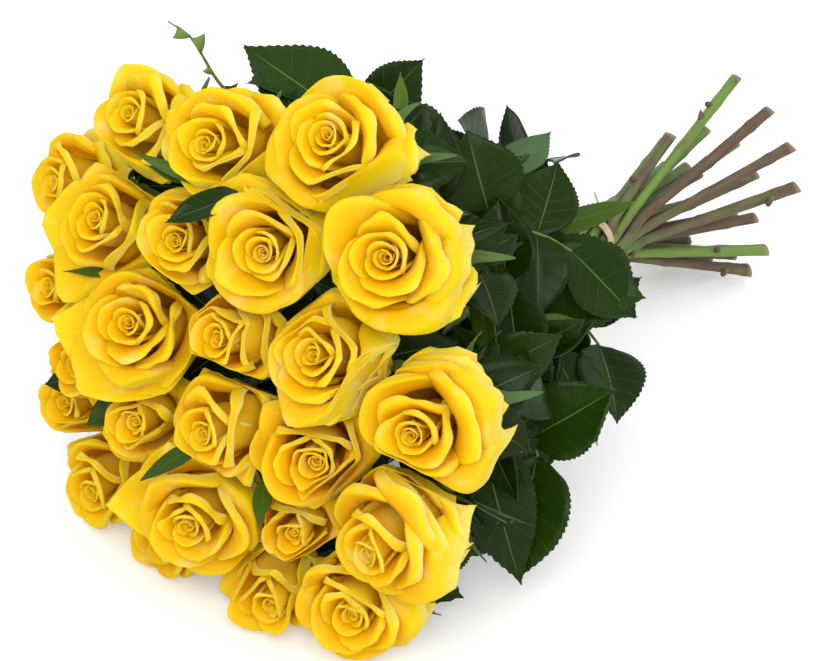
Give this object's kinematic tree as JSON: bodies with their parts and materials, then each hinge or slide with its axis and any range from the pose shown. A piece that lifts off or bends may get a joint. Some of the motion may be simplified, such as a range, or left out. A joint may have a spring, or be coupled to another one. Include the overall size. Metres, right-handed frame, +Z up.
{
  "type": "bouquet of roses",
  "caption": "Hand-tied spiral bouquet of yellow roses lying on its side, with a domed head of open blooms, bare crossing stems, leafy sprays and a raffia tie.",
  "frame": {"origin": "on the surface that the bouquet lies on, under the middle of its bounding box", "axes": "+X along the bouquet from the blooms to the cut ends, +Z up, +Y across it"},
  "size_m": [0.5518, 0.3342, 0.3003],
  "materials": {
    "petals": "soft matt petals with a faint sheen, paler at the rims",
    "stems": "smooth green bark, brown in places",
    "leaves": "semi-gloss dark green, paler below",
    "raffia": "dry matt fibre"
  },
  "bodies": {
    "root": {"bloom_01": "petals", "bloom_02": "petals", "bloom_03": "petals", "bloom_04": "petals", "bloom_05": "petals", "bloom_06": "petals", "bloom_07": "petals", "bloom_08": "petals", "bloom_09": "petals", "bloom_10": "petals", "bloom_11": "petals", "bloom_12": "petals", "bloom_13": "petals", "bloom_14": "petals", "bloom_15": "petals", "bloom_16": "petals", "bloom_17": "petals", "bloom_18": "petals", "bloom_19": "petals", "bloom_20": "petals", "bloom_21": "petals", "bloom_22": "petals", "bloom_23": "petals", "bloom_24": "petals", "bloom_25": "petals", "stem_01": "stems", "stem_02": "stems", "stem_03": "stems", "stem_04": "stems", "stem_05": "stems", "stem_06": "stems", "stem_07": "stems", "stem_08": "stems", "stem_09": "stems", "stem_10": "stems", "stem_11": "stems", "stem_12": "stems", "stem_13": "stems", "stem_14": "stems", "stem_15": "stems", "stem_16": "stems", "stem_17": "stems", "stem_18": "stems", "stem_19": "stems", "stem_20": "stems", "stem_21": "stems", "stem_22": "stems", "stem_23": "stems", "stem_24": "stems", "stem_25": "stems", "leaf_01": "leaves", "leaf_02": "leaves", "leaf_03": "leaves", "leaf_04": "leaves", "leaf_05": "leaves", "leaf_06": "leaves", "leaf_07": "leaves", "leaf_08": "leaves", "leaf_09": "leaves", "raffia_tie": "raffia"}
  },
  "joints": []
}
